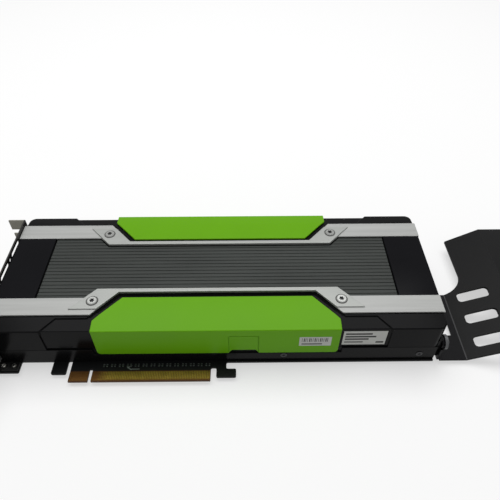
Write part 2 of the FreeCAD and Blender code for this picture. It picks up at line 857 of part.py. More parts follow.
def make_cover(name, side):
    """Coloured moulded cover, wrapped over the fold of the shroud and proud of it."""
    piece = new_piece(name)
    inner = s.recess_deep
    outer = s.recess_deep - s.cover_thick
    rest = s.deck_high - inner
    face = s.deck_high - outer
    section = [
        (outward(side, s.cover_inner), rest),
        (outward(side, s.rail_outer), rest),
        (outward(side, duct_half - inner), s.fold_high - inner),
        (outward(side, duct_half - inner), s.cover_low),
        (outward(side, duct_half - outer), s.cover_low),
        (outward(side, duct_half - outer), s.fold_high - outer),
        (outward(side, s.rail_outer), face),
        (outward(side, s.cover_inner), face),
    ]
    add(piece, "YZ_Plane", s.cover_mid - s.cover_half, s.cover_mid + s.cover_half, section)
    triangles = [
        [(s.cover_mid + hand * cover_half_top, outward(side, s.cover_inner)),
         (s.cover_mid + hand * s.cover_half, outward(side, s.cover_inner)),
         (s.cover_mid + hand * s.cover_half, outward(side, s.cover_wide))]
        for hand in (-1, 1)
    ]
    cut(piece, "XY_Plane", s.fold_high - inner, face, *triangles)
    middle = s.cover_mid + s.notch_middle
    face_out = outward(side, duct_half - outer)
    face_in = outward(side, duct_half - inner)
    low, high = (face_out, face_in) if side < 0 else (face_in, face_out)
    notch = [(middle - s.notch_half_low, s.cover_low), (middle + s.notch_half_low, s.cover_low),
             (middle + s.notch_half_top, s.cover_low + s.notch_high),
             (middle - s.notch_half_top, s.cover_low + s.notch_high)]
    cut(piece, "XZ_Plane", low, high, notch)
    channel = box_ring(middle - s.notch_half_low, middle + s.notch_half_low,
                       s.cover_low, s.channel_top)
    if side < 0:
        cut(piece, "XZ_Plane", face_out, face_out + s.channel_deep, channel)
    else:
        cut(piece, "XZ_Plane", face_out - s.channel_deep, face_out, channel)

    def low_corner(edge):
        spot = edge.BoundBox
        ends = near(spot.XMin, s.cover_mid - s.cover_half)
        ends = ends or near(spot.XMin, s.cover_mid + s.cover_half)
        return runs_along(edge, "y") and ends and near(spot.ZMin, s.cover_low)
    round_edges(piece, s.cover_round, low_corner)
    return piece


def make_end_plates():
    """Flat plates that close the duct's top between the rails, either side of the window."""
    io_plate = new_piece("io_end_plate")
    gap = s.part_gap
    low = outward(-1, s.rail_inner - gap)
    high = outward(1, s.rail_inner - gap)
    top = s.deck_high + s.plate_thick
    add(io_plate, "XY_Plane", s.deck_high, top,
        box_ring(-duct_io, window_io - gap, low, high))
    tail_plate = new_piece("tail_end_plate")
    add(tail_plate, "XY_Plane", s.deck_high, top,
        box_ring(window_tail + gap, duct_tail, low, high))
    return [io_plate, tail_plate]


# ---------------------------------------------------------------- the back

def make_backplate():
    piece = new_piece("backplate")
    inset = s.back_inset
    plate = box_ring(-s.board_left + inset, s.board_right - inset,
                     s.board_near + inset, s.board_far - inset)
    add(piece, "XY_Plane", back_low, back_high, plate)
    side = 2 * s.boss_half
    posts = [square(x, y, side, side) for x, y in board_screws + sink_screws]
    add(piece, "XY_Plane", back_high, board_low, *posts)
    head = s.screw_head + s.screw_clear
    sinks = [(x, y, head) for x, y in board_screws + sink_screws]
    cut(piece, "XY_Plane", back_low, back_low + s.screw_head_high, *sinks)
    return piece


def make_back_screws(name, places):
    piece = new_piece(name)
    head_top = back_low + s.screw_head_high
    add(piece, "XY_Plane", back_low, head_top, *[(x, y, s.screw_head) for x, y in places])
    return piece


# ---------------------------------------------------------------- the bracket at the I/O end

def make_io_bracket():
    """Folded steel bracket, two slots wide, full of air vents, with a tab that is screwed to
    the chassis, two tips for the slots at its foot, and two feet screwed to the board."""
    piece = new_piece("io_bracket")
    inner = -bracket_inner
    outer = inner - s.bracket_thick
    slots = [s.slot_first, s.slot_first + s.slot_pitch]
    face = box_ring(-s.bracket_end, s.bracket_tab, -s.bracket_low, s.bracket_high)
    add(piece, "YZ_Plane", outer, inner, face)
    tips = [box_ring(-s.bracket_tip, -s.bracket_end, z - s.bracket_tip_wide / 2,
                     z + s.bracket_tip_wide / 2) for z in slots]
    add(piece, "YZ_Plane", outer, inner, *tips)
    tab = box_ring(outer - s.bracket_tab_deep, outer, -s.bracket_low, s.bracket_high)
    add(piece, "XZ_Plane", s.bracket_tab - s.bracket_thick, s.bracket_tab, tab)
    notches = [box_ring(outer - s.bracket_tab_deep, outer - s.bracket_tab_deep + s.tab_notch_deep,
                        z - s.tab_notch_half, z + s.tab_notch_half) for z in slots]
    cut(piece, "XZ_Plane", s.bracket_tab - s.bracket_thick, s.bracket_tab, *notches)
    feet = [box_ring(inner, -foot_right, foot_near_low, foot_near_high),
            box_ring(inner, -foot_right, foot_far_low, foot_far_high)]
    add(piece, "XY_Plane", 0, s.bracket_thick, *feet)

    half = s.vent_high / 2
    vent_mid = s.vent_top - half
    end = s.vent_long / 2
    nip = s.vent_nip
    vent = [
        (s.vent_first - end, vent_mid - half + nip), (s.vent_first - end + nip, vent_mid - half),
        (s.vent_first + end - nip, vent_mid - half), (s.vent_first + end, vent_mid - half + nip),
        (s.vent_first + end, vent_mid + half - nip), (s.vent_first + end - nip, vent_mid + half),
        (s.vent_first - end + nip, vent_mid + half), (s.vent_first - end, vent_mid + half - nip),
    ]
    rows = []
    for row in range(int(s.vent_rows.value)):
        drop = s.vent_step * row
        for column in range(int(s.vent_columns.value)):
            move = s.vent_pitch * column
            rows.append([(y + move, z - drop) for y, z in vent])
    cut(piece, "YZ_Plane", outer, inner, *rows)
    holes = [(s.vent_first + s.vent_pitch * (column + 0.5), vent_mid, s.vent_hole)
             for column in range(int(s.vent_columns.value) - 1)]
    cut(piece, "YZ_Plane", outer, inner, *holes)
    return piece


def make_foot_screws():
    piece = new_piece("bracket_screws")
    low = s.bracket_thick
    add(piece, "XY_Plane", low, low + s.foot_screw_high,
        *[(x, y, s.foot_screw_head) for x, y in foot_screws])
    return piece


# ---------------------------------------------------------------- the tail

def make_power_socket():
    socket = new_piece("power_socket")
    half = s.socket_wide / 2
    low = socket_mid - half
    high = socket_mid + half
    add(socket, "YZ_Plane", socket_io, socket_tail, box_ring(low, high, 0, s.socket_high))
    rib = box_ring(socket_mid - s.key_rib_wide / 2, socket_mid + s.key_rib_wide / 2,
                   s.socket_high, s.socket_high + s.key_rib_high)
    add(socket, "YZ_Plane", socket_tail - s.key_rib_long, socket_tail, rib)
    places = [(socket_mid + across, s.socket_high / 2 + up)
              for across in span(s.socket_pitch, 4) for up in span(s.socket_pitch, 2)]
    cavities = [square(y, z, s.cavity_side, s.cavity_side) for y, z in places]
    floor = socket_tail - s.cavity_deep
    cut(socket, "YZ_Plane", floor, socket_tail, *cavities)
    pins = new_piece("power_pins")
    add(pins, "YZ_Plane", floor, floor + s.pin_long,
        *[square(y, z, s.pin_side, s.pin_side) for y, z in places])
    return [socket, pins]


def make_extender_bracket():
    """Folded sheet at the tail: two tabs with ears screwed to the frame, a flat level with
    the board, a ramp with three slots, and a raised flat that the chassis guides.  A large
    rounded notch leaves the power socket open."""
    piece = new_piece("extender_bracket")
    drop = s.sheet
    first_bend = ear_right + s.ramp_start
    second_bend = ear_right + s.ramp_end
    wing_near = near_wall - s.wing_out
    wing_far = far_wall + s.wing_far
    wing_far_end = far_wall + s.wing_far_end
    section = [
        (ear_right, -drop), (first_bend + s.bend_shift, -drop),
        (second_bend + s.bend_shift, s.ramp_rise - drop),
        (ear_right + s.wing_long, s.ramp_rise - drop), (ear_right + s.wing_long, s.ramp_rise),
        (second_bend, s.ramp_rise), (first_bend, 0), (ear_right, 0),
    ]
    add(piece, "XZ_Plane", wing_near, wing_far_end, section)

    def bend(edge):
        spot = edge.BoundBox
        inner = near(spot.XMin, first_bend) or near(spot.XMin, second_bend)
        outer = near(spot.XMin, first_bend + s.bend_shift)
        outer = outer or near(spot.XMin, second_bend + s.bend_shift)
        return runs_along(edge, "y") and (inner or outer)
    round_edges(piece, s.sheet_bend, bend)

    ears = [box_ring(near_wall, ear_near_high, -drop, s.ear_near_top),
            box_ring(ear_far_low, ear_far_high, -drop, s.ear_far_top)]
    add(piece, "YZ_Plane", ear_left, ear_right, *ears)
    lobe = (near_wall + s.ear_near_screw, s.ear_near_screw_high, s.ear_lobe)
    add(piece, "YZ_Plane", ear_left, ear_right, lobe)

    tab_right = ear_right + s.wing_tab
    past = wing_far_end + s.sheet
    gap = [
        (ear_right, ear_near_high), (tab_right, ear_near_high), (tab_right, ear_far_low),
        (ear_right, ear_far_low),
    ]
    cut(piece, "XY_Plane", -drop, s.ramp_rise, gap)
    bow = s.cable_notch_round
    low = near_wall + s.cable_notch_in
    right = ear_right + s.cable_notch_right
    corner = [
        (ear_right, low), (right - bow, low), (right - bow, low + bow), (right, low + bow),
        (right, wing_far), (second_bend, wing_far_end), (second_bend, past), (ear_right, past),
    ]
    cut(piece, "XY_Plane", -drop, s.ramp_rise, corner)
    cut(piece, "XY_Plane", -drop, s.ramp_rise, (right - bow, low + bow, bow))

    half = s.wing_slot_wide / 2
    start = ear_right + s.wing_slot_start
    end = ear_right + s.wing_slot_end
    first = near_wall + s.wing_slot_in
    slots = [box_ring(start, end, first + s.wing_slot_pitch * k - half,
                      first + s.wing_slot_pitch * k + half)
             for k in range(int(s.wing_slot_count.value))]
    cut(piece, "XY_Plane", -drop, s.ramp_rise, *slots)

    def slot_corner(edge):
        spot = edge.BoundBox
        return runs_along(edge, "z") and (near(spot.XMin, start) or near(spot.XMin, end))
    round_edges(piece, s.wing_slot_round, slot_corner)

    def ear_corner(edge):
        spot = edge.BoundBox
        top = near(spot.ZMin, s.ear_near_top) or near(spot.ZMin, s.ear_far_top)
        far = near(spot.YMin, ear_near_high) or near(spot.YMin, ear_far_high)
        return runs_along(edge, "x") and top and far
    round_edges(piece, s.ear_round, ear_corner)
    return piece


def make_ear_screws():
    piece = new_piece("extender_screws")
    add(piece, "YZ_Plane", ear_right, ear_right + s.ear_screw_head_high,
        *[(y, z, s.ear_screw_head) for y, z in ear_screws])
    return piece


# ---------------------------------------------------------------- screws and labels that show

def make_trim_screws():
    piece = new_piece("trim_screws")
    places = [(s.cover_mid + hand * trim_screw_out, outward(side, s.trim_screw_wide))
              for side in (-1, 1) for hand in (-1, 1)]
    add(piece, "XY_Plane", trim_high, trim_high + s.trim_screw_high,
        *[(x, y, s.trim_screw_head) for x, y in places])
    return piece


def make_side_screws():
    piece = new_piece("side_screws")
    places = [(x, s.side_screw_high) for x in side_screw_columns]
    proud = s.side_screw_proud
    heads = [(x, z, s.side_screw_head) for x, z in places]
    add(piece, "XZ_Plane", near_wall - proud, near_wall, *heads)
    add(piece, "XZ_Plane", far_wall, far_wall + proud, *heads)
    return piece


def make_labels():
    """Two blank paper labels: one in the shroud's pocket, one on the near cover."""
    side_label = new_piece("side_label")
    floor = near_wall + s.recess_deep
    label_io = s.cover_mid + s.cover_half + s.label_start
    label_low = s.seam_high + s.label_up
    label_tail = s.cover_mid + pocket_half - s.label_end
    add(side_label, "XZ_Plane", floor - s.label_thick, floor,
        box_ring(label_io, label_tail, label_low, label_low + s.label_high))
    cover_label = new_piece("cover_label")
    face = near_wall + s.recess_deep - s.cover_thick
    sticker_io = s.cover_mid + s.sticker_start
    sticker_low = s.cover_low + s.sticker_up
    add(cover_label, "XZ_Plane", face - s.label_thick, face,
        box_ring(sticker_io, sticker_io + s.sticker_long, sticker_low,
                 sticker_low + s.sticker_high))
    return [side_label, cover_label]


# ---------------------------------------------------------------- put together, check, write

pieces = [make_circuit_board(), make_edge_contacts(), make_coupling_capacitors()]
pieces += make_processor()
pieces += make_memory()
pieces += make_power_stages()
pieces += [make_heatsink_base(), make_fin_stack(), make_base_frame(), make_shroud()]
for side, word in ((-1, "near"), (1, "far")):
    pieces.append(make_rail(f"{word}_rail_io", side, -1))
    pieces.append(make_rail(f"{word}_rail_tail", side, 1))
    pieces.append(make_trim(f"{word}_trim", side))
    pieces.append(make_cover(f"{word}_cover", side))
pieces += make_end_plates()
pieces.append(make_backplate())
pieces.append(make_back_screws("backplate_screws", board_screws))
pieces.append(make_back_screws("heatsink_screws", sink_screws))
pieces += [make_io_bracket(), make_foot_screws()]
pieces += make_power_socket()
pieces += [make_extender_bracket(), make_ear_screws()]
pieces += [make_trim_screws(), make_side_screws()]
pieces += make_labels()
doc.recompute()

faults = [item.Name for item in doc.Objects if {"Invalid", "Error"} & set(item.State)]
if faults:
    raise RuntimeError(f"these objects failed: {faults}")
for piece in pieces:
    if piece.Shape.isNull() or not piece.Shape.isValid():
        raise RuntimeError(f"{piece.Label} has no valid shape")

os.makedirs("parts", exist_ok=True)
for piece in pieces:
    piece.Shape.exportStep(f"parts/{piece.Label}.step")
    print(piece.Label, len(piece.Shape.Solids), "solids,", round(piece.Shape.Volume), "cubic mm")
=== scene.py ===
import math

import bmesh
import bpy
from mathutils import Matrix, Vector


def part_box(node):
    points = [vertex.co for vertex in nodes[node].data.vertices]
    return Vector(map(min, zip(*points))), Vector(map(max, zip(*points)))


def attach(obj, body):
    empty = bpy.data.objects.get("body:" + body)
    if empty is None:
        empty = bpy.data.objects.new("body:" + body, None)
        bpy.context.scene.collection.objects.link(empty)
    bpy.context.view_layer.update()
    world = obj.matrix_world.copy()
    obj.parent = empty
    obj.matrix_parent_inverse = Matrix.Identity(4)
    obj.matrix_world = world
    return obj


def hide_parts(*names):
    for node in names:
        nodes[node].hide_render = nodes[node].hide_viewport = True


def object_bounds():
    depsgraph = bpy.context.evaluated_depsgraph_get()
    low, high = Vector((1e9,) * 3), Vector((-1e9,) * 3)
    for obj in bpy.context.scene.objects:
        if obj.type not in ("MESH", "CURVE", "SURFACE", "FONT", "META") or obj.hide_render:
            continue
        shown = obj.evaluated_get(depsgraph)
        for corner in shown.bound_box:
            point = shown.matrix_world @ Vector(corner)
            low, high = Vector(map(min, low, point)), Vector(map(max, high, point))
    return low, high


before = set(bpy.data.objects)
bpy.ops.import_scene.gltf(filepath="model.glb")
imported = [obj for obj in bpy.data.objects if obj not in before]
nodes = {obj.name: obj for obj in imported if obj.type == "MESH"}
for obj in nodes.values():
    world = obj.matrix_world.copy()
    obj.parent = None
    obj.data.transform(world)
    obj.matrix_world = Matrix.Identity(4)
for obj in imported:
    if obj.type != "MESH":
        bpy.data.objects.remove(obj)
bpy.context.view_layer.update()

# ---------------------------------------------------------------- circuit board
# Glass laminate, 1.57 mm, under near-black solder mask.  The tongue that enters the edge
# socket is bare laminate between its fingers.  An arrow printed above them points to the
# key notch.

MM = 0.001


def wire(tree, node, inputs):
    """Give a node's inputs their values, or links from other nodes (a list for several)."""
    for name, value in inputs.items():
        for source in value if isinstance(value, list) else [value]:
            if isinstance(source, bpy.types.NodeSocket):
                tree.links.new(source, node.inputs[name])
            else:
                node.inputs[name].default_value = source


def add(tree, kind, inputs=None, **settings):
    """Put a node in a tree, with its settings and its inputs."""
    node = tree.nodes.new(kind)
    for name, value in settings.items():
        setattr(node, name, value)
    wire(tree, node, inputs or {})
    return node


def figure(tree, operation, *values):
    """The result of one sum."""
    node = add(tree, "ShaderNodeMath", dict(enumerate(values)), operation=operation)
    return node.outputs["Value"]


def within(tree, value, low, high):
    """1 where the value lies between low and high, else 0."""
    return figure(tree, "MULTIPLY", figure(tree, "GREATER_THAN", value, low),
                  figure(tree, "LESS_THAN", value, high))


def grained(name, colour, rough, metal=0.0, mottle=0.06, mottle_size=90.0, rough_shift=0.06,
            grain=0.08, stretch=(1.0, 1.0, 1.0), specular=0.3):
    """A finish whose colour and roughness drift a little and whose skin has a fine grain."""
    fine_scale, grain_deep = 1500.0, 0.2 * MM
    finish = bpy.data.materials.new(name)
    finish.use_nodes = True
    tree = finish.node_tree
    place = add(tree, "ShaderNodeTexCoord")
    drawn = add(tree, "ShaderNodeMapping", {"Vector": place.outputs["Object"],
                                            "Scale": stretch})
    broad = add(tree, "ShaderNodeTexNoise", {"Vector": drawn.outputs["Vector"],
                                             "Scale": mottle_size, "Detail": 4.0})
    fine = add(tree, "ShaderNodeTexNoise", {"Vector": drawn.outputs["Vector"],
                                            "Scale": fine_scale, "Detail": 2.0})
    drift = add(tree, "ShaderNodeMix", {
        "Factor": broad.outputs["Fac"],
        "A": tuple(max(0.0, c * (1 - mottle)) for c in colour) + (1.0,),
        "B": tuple(min(1.0, c * (1 + mottle)) for c in colour) + (1.0,)}, data_type="RGBA")
    shift = add(tree, "ShaderNodeMapRange", {"Value": broad.outputs["Fac"],
                                             "To Min": max(0.02, rough - rough_shift),
                                             "To Max": min(1.0, rough + rough_shift)})
    bump = add(tree, "ShaderNodeBump", {"Height": fine.outputs["Fac"], "Strength": grain,
                                        "Distance": grain_deep})
    wire(tree, tree.nodes["Principled BSDF"], {
        "Base Color": drift.outputs["Result"], "Roughness": shift.outputs["Result"],
        "Normal": bump.outputs["Normal"], "Metallic": metal, "Specular IOR Level": specular})
    return finish


def spot(finish):
    """A finish's tree, and the X, Y and Z of each point of the piece that wears it."""
    tree = finish.node_tree
    place = add(tree, "ShaderNodeTexCoord")
    apart = add(tree, "ShaderNodeSeparateXYZ", {"Vector": place.outputs["Object"]})
    return tree, apart.outputs["X"], apart.outputs["Y"], apart.outputs["Z"]


def painted(finish, mask, colour):
    """Put another colour on a finish, where the mask is 1."""
    tree = finish.node_tree
    base = tree.nodes["Principled BSDF"].inputs["Base Color"]
    over = add(tree, "ShaderNodeMix", {"Factor": mask, "A": base.links[0].from_socket,
                                       "B": (*colour, 1.0)}, data_type="RGBA")
    tree.links.new(over.outputs["Result"], base)


def merged(name):
    """A frame piece's loose triangles, joined along their seams."""
    build = bmesh.new()
    build.from_mesh(nodes[name].data)
    bmesh.ops.remove_doubles(build, verts=build.verts, dist=0.002 * MM)
    return build


def broken_edges(name, finish, width, segments=2):
    """Stand-in for a frame piece, with its sharp edges rounded over by a width in mm."""
    slight, sharp = math.radians(9.5), math.radians(20.0)
    build = merged(name)
    bmesh.ops.dissolve_limit(build, angle_limit=math.radians(0.5), verts=build.verts,
                             edges=build.edges)
    for face in build.faces:
        face.smooth = True
    for edge in build.edges:
        edge.smooth = not slight < edge.calc_face_angle(0.0) < sharp
    mesh = bpy.data.meshes.new(name + "_piece")
    build.to_mesh(mesh)
    build.free()
    mesh.materials.append(finish)
    piece = bpy.data.objects.new(name + "_piece", mesh)
    bpy.context.scene.collection.objects.link(piece)
    bevel = piece.modifiers.new("broken_edge", "BEVEL")
    bevel.width = width * MM
    bevel.segments = segments
    bevel.limit_method = "ANGLE"
    bevel.angle_limit = sharp
    bevel.use_clamp_overlap = False
    even = piece.modifiers.new("even_shade", "WEIGHTED_NORMAL")
    even.mode = "FACE_AREA"
    even.weight = 100
    even.keep_sharp = True
    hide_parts(name)
    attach(piece, "root")


solder_mask = grained("solder_mask", (0.008, 0.0085, 0.009), 0.34, specular=0.12, mottle=0.2)
tree, x, y, z = spot(solder_mask)

bare_laminate = (0.085, 0.036, 0.012)
low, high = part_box("edge_contacts")
margin, above_fingers = 2.0 * MM, 0.5 * MM
painted(solder_mask,
        figure(tree, "MULTIPLY", within(tree, x, low.x - margin, high.x + margin),
               within(tree, y, low.y - margin, high.y + above_fingers)),
        bare_laminate)

print_grey = (0.20, 0.23, 0.21)
arrow_tip, arrow_middle = 21.4 * MM, 9.2 * MM
arrow_long, tail_long = 3.0 * MM, 4.8 * MM
arrow_slope, arrow_line = 0.6, 0.7 * MM
tail_low, tail_high = arrow_middle - 1.3 * MM, arrow_middle - 0.8 * MM
tail_start = arrow_tip + arrow_long
half_width = figure(tree, "MULTIPLY_ADD", x, arrow_slope, -arrow_slope * arrow_tip)
aside = figure(tree, "ABSOLUTE", figure(tree, "SUBTRACT", y, arrow_middle))
arrow_head = figure(tree, "MULTIPLY",
                    within(tree, figure(tree, "SUBTRACT", half_width, aside), 0.0, arrow_line),
                    within(tree, x, arrow_tip, tail_start))
arrow_tail = figure(tree, "MULTIPLY", within(tree, x, tail_start, tail_start + tail_long),
                    within(tree, y, tail_low, tail_high))
top_face = within(tree, z, -0.3 * MM, 1.0 * MM)
painted(solder_mask,
        figure(tree, "MULTIPLY", figure(tree, "MAXIMUM", arrow_head, arrow_tail), top_face),
        print_grey)
broken_edges("circuit_board", solder_mask, width=0.25)

# ---------------------------------------------------------------- gold fingers
# Hard gold over nickel, plated on both faces of the tongue.  Use has dulled it to brown
# along the tips and on the short row.


def dress(finish, *names):
    """Give the frame's own pieces their finish."""
    for name in names:
        mesh = nodes[name].data
        mesh.materials.clear()
        mesh.materials.append(finish)


def fading(tree, value, start, end):
    """1 before the start, falling to 0 at the end."""
    fade = add(tree, "ShaderNodeMapRange", {"Value": value, "From Min": start,
                                            "From Max": end, "To Min": 1.0, "To Max": 0.0})
    return fade.outputs["Result"]


low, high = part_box("edge_contacts")
gold_plating = grained("gold_plating", (0.265, 0.185, 0.030), 0.34, metal=0.85, mottle=0.3,
                       mottle_size=260.0, specular=0.2)
worn_brown = (0.125, 0.060, 0.014)
short_row_worn, long_row_bright = 4.0 * MM, 11.0 * MM
tip_worn, tip_bright = low.y + 0.2 * MM, low.y + 1.3 * MM
tree, x, y, z = spot(gold_plating)
painted(gold_plating,
        figure(tree, "MAXIMUM", fading(tree, x, short_row_worn, long_row_bright),
               fading(tree, y, tip_worn, tip_bright)),
        worn_brown)
dress(gold_plating, "edge_contacts")

# ---------------------------------------------------------------- coupling capacitors
# Pairs of small ceramic chips above the fingers, each with a tinned cap at both ends,
# soldered flat on the board.


def new_group(name, sizes, finishes, counts=()):
    """An empty geometry tree with named inputs for its sizes, counts and finishes."""
    group = bpy.data.node_groups.new(name, "GeometryNodeTree")
    group.is_modifier = True
    new_socket = group.interface.new_socket
    new_socket("Geometry", in_out="OUTPUT", socket_type="NodeSocketGeometry")
    for kind, names in (("Geometry", ["Geometry"]), ("Float", sizes), ("Int", counts),
                        ("Material", finishes)):
        for each in names:
            new_socket(each, in_out="INPUT", socket_type="NodeSocket" + kind)
    return group, group.nodes.new("NodeGroupInput").outputs


def offset(group, **ways):
    """A way to go, or a place, put together from its X, Y and Z."""
    return add(group, "ShaderNodeCombineXYZ", ways).outputs["Vector"]


def placed(group, points, instance, **inputs):
    """One copy of the instance on each point, made real."""
    copies = add(group, "GeometryNodeInstanceOnPoints",
                 {"Points": points, "Instance": instance, **inputs})
    real = add(group, "GeometryNodeRealizeInstances",
               {"Geometry": copies.outputs["Instances"]})
    return real.outputs["Geometry"]


def marked(group, mesh, name, faces):
    """Note on the mesh which faces will get the second finish."""
    note = add(group, "GeometryNodeStoreNamedAttribute",
               {"Geometry": mesh, "Name": name, "Value": faces},
               data_type="FLOAT", domain="FACE")
    return note.outputs["Geometry"]


def finished(group, mesh, finish, mark, second_finish):
    """Close the tree: one finish all over, then the second on the marked faces."""
    whole = add(group, "GeometryNodeSetMaterial", {"Geometry": mesh, "Material": finish})
    note = add(group, "GeometryNodeInputNamedAttribute", {"Name": mark}, data_type="FLOAT")
    part = add(group, "GeometryNodeSetMaterial", {
        "Geometry": whole.outputs["Geometry"], "Material": second_finish,
        "Selection": figure(group, "GREATER_THAN", note.outputs["Attribute"], 0.5)})
    add(group, "NodeGroupOutput", {"Geometry": part.outputs["Geometry"]})


def grown(name, points, group, values, replaced):
    """Run the tree on the points with its named values, and keep the plain mesh."""
    piece = bpy.data.objects.new(name, points)
    bpy.context.scene.collection.objects.link(piece)
    growth = piece.modifiers.new("growth", "NODES")
    growth.node_group = group
    for item in group.interface.items_tree:
        if item.in_out == "INPUT" and item.name in values:
            growth[item.identifier] = values[item.name]
    ready = piece.evaluated_get(bpy.context.evaluated_depsgraph_get())
    plain = bpy.data.meshes.new_from_object(ready)
    piece.modifiers.remove(growth)
    piece.data = plain
    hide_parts(replaced)
    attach(piece, "root")


chips, given = new_group("chip_rows", sizes=("Width", "Length", "Height", "End", "Pitch", "Gap"),
                         counts=("Pairs",), finishes=("Body", "Ends"))
# Four rings of points go along the chip.  The inner two move out to where the caps start.
block = add(chips, "GeometryNodeMeshCube", {
    "Size": offset(chips, X=given["Width"], Y=given["Length"], Z=given["Height"]),
    "Vertices Y": 4})
corner = add(chips, "ShaderNodeSeparateXYZ", {
    "Vector": add(chips, "GeometryNodeInputPosition").outputs["Position"]}).outputs
half_long = figure(chips, "DIVIDE", given["Length"], 2.0)
short_of_end = figure(chips, "MULTIPLY", half_long, 0.9)
cap_start = figure(chips, "SUBTRACT", half_long, given["End"])
out_by = figure(chips, "ABSOLUTE", corner["Y"])
waisted = add(chips, "GeometryNodeSetPosition", {
    "Geometry": block.outputs["Mesh"],
    "Selection": figure(chips, "LESS_THAN", out_by, short_of_end),
    "Position": offset(chips, X=corner["X"], Z=corner["Z"],
                       Y=figure(chips, "MULTIPLY", figure(chips, "SIGN", corner["Y"]),
                                cap_start))})
chip = add(chips, "GeometryNodeTransform", {
    "Geometry": marked(chips, waisted.outputs["Geometry"], "tinned",
                       figure(chips, "GREATER_THAN", out_by, cap_start)),
    "Translation": offset(chips, Z=figure(chips, "DIVIDE", given["Height"], 2.0))})
row = add(chips, "GeometryNodeMeshLine", {"Count": given["Pairs"],
                                          "Offset": offset(chips, X=given["Pitch"])})
second_row = add(chips, "GeometryNodeTransform",
                 {"Geometry": row.outputs["Mesh"], "Translation": offset(chips, X=given["Gap"])})
pairs = add(chips, "GeometryNodeJoinGeometry",
            {"Geometry": [row.outputs["Mesh"], second_row.outputs["Geometry"]]})
seats = placed(chips, given["Geometry"], pairs.outputs["Geometry"])
finished(chips, placed(chips, seats, chip.outputs["Geometry"]), given["Body"], "tinned",
         given["Ends"])

low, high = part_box("coupling_capacitors")
chip_wide, cap_long = 0.9 * MM, 0.4 * MM
pair_pitch, chip_gap, pairs_in_row = 4.8 * MM, 1.9 * MM, 14
chip_ceramic = grained("chip_ceramic", (0.026, 0.030, 0.027), 0.5, specular=0.15)
chip_ends = grained("chip_ends", (0.13, 0.15, 0.14), 0.4, metal=0.5, mottle=0.2)
start = bpy.data.meshes.new("chip_start")
start.from_pydata([(low.x + chip_wide / 2, (low.y + high.y) / 2, low.z)], [], [])
grown("capacitor_chips", start, chips,
      {"Width": chip_wide, "Length": high.y - low.y, "Height": high.z - low.z,
       "End": cap_long, "Pitch": pair_pitch, "Gap": chip_gap, "Pairs": pairs_in_row,
       "Body": chip_ceramic, "Ends": chip_ends},
      "coupling_capacitors")

# ---------------------------------------------------------------- processor, memory and power
# Green package with a bare polished die, black memory chips with soft grey pads on them,
# pressed iron chokes and moulded power stages, all soldered and all under the duct.

dress(grained("package_laminate", (0.03, 0.08, 0.04), 0.5), "gpu_package")
dress(grained("silicon", (0.12, 0.12, 0.14), 0.12, rough_shift=0.02, grain=0.0), "gpu_die")
dress(grained("chip_moulding", (0.02, 0.02, 0.02), 0.55, grain=0.2), "memory_chips",
      "power_stages")
dress(grained("pad_silicone", (0.35, 0.4, 0.45), 0.8, grain=0.3), "thermal_pads")
dress(grained("choke_body", (0.08, 0.08, 0.085), 0.65, grain=0.5), "chokes")

# ---------------------------------------------------------------- heatsink
# Milled aluminium plate with a pedestal on the die, and folded, dark anodised sheet fins
# soldered to it.  The fins' lips make the lined surface in the duct's window.

dress(grained("sink_aluminium", (0.5, 0.51, 0.52), 0.34, metal=0.9, stretch=(0.2, 1.0, 1.0)),
      "heatsink_base")
fin_black = grained("fin_black", (0.040, 0.044, 0.041), 0.36, metal=0.2, mottle=0.35,
                    mottle_size=14.0, rough_shift=0.08, stretch=(1.0, 3.0, 1.0),
                    specular=0.12)
broken_edges("fin_stack", fin_black, width=0.16)

# ---------------------------------------------------------------- base frame
# Lower half of the duct, with its side walls and two ears for the extender bracket.  Cast
# in one piece, coated gloss black, and standing on the board.

frame_black = grained("frame_black", (0.0055, 0.0055, 0.0058), 0.24, specular=0.06,
                      mottle=0.15, mottle_size=25.0, grain=0.05)
broken_edges("base_frame", frame_black, width=0.2)

# ---------------------------------------------------------------- shroud
# Upper half of the duct: one bent wall with the window and the side recesses.  Moulded in
# gloss black plastic, and screwed to the base frame through its sides.

shroud_black = grained("shroud_black", (0.0042, 0.0042, 0.0047), 0.18, specular=0.045,
                       mottle=0.15, mottle_size=25.0, rough_shift=0.04, grain=0.03)
broken_edges("shroud", shroud_black, width=0.35)

# ---------------------------------------------------------------- end plates
# Flat plates either side of the window.  Moulded in gloss black plastic, left bare, and let
# in flush between the rails.

plate_black = grained("plate_black", (0.005, 0.005, 0.0065), 0.16, specular=0.04, mottle=0.2,
                      mottle_size=25.0, rough_shift=0.04, grain=0.02)
for name in ("io_end_plate", "tail_end_plate"):
    broken_edges(name, plate_black, width=0.2)

# ---------------------------------------------------------------- side covers
# Bright green covers over the duct's long folds, one to a side.  Moulded in plastic with a
# satin skin, and clipped on.

cover_green = grained("cover_green", (0.142, 0.41, 0.004), 0.34, mottle=0.04,
                      mottle_size=30.0, grain=0.06, specular=0.09)
for name in ("near_cover", "far_cover"):
    broken_edges(name, cover_green, width=0.45, segments=3)

# ---------------------------------------------------------------- rails
# Four bright bars, one along each side of each end plate.  Extruded aluminium, brushed
# along its length, and glued on the duct's deck.

rail_silver = grained("rail_silver", (0.375, 0.38, 0.37), 0.46, metal=0.3, mottle=0.2,
                      mottle_size=400.0, grain=0.14, stretch=(0.04, 1.0, 1.0), specular=0.2)
for name in ("near_rail_io", "near_rail_tail", "far_rail_io", "far_rail_tail"):
    broken_edges(name, rail_silver, width=0.25)

# ---------------------------------------------------------------- trims
# Stamped bridges in the same brushed silver, which tie two rails together past a cover.
# Each has a painted shade ring round its two screws.

trim_silver = grained("trim_silver", (0.335, 0.345, 0.33), 0.42, metal=0.35, mottle=0.10,
                      mottle_size=300.0, grain=0.12, stretch=(0.06, 1.0, 1.0), specular=0.2)
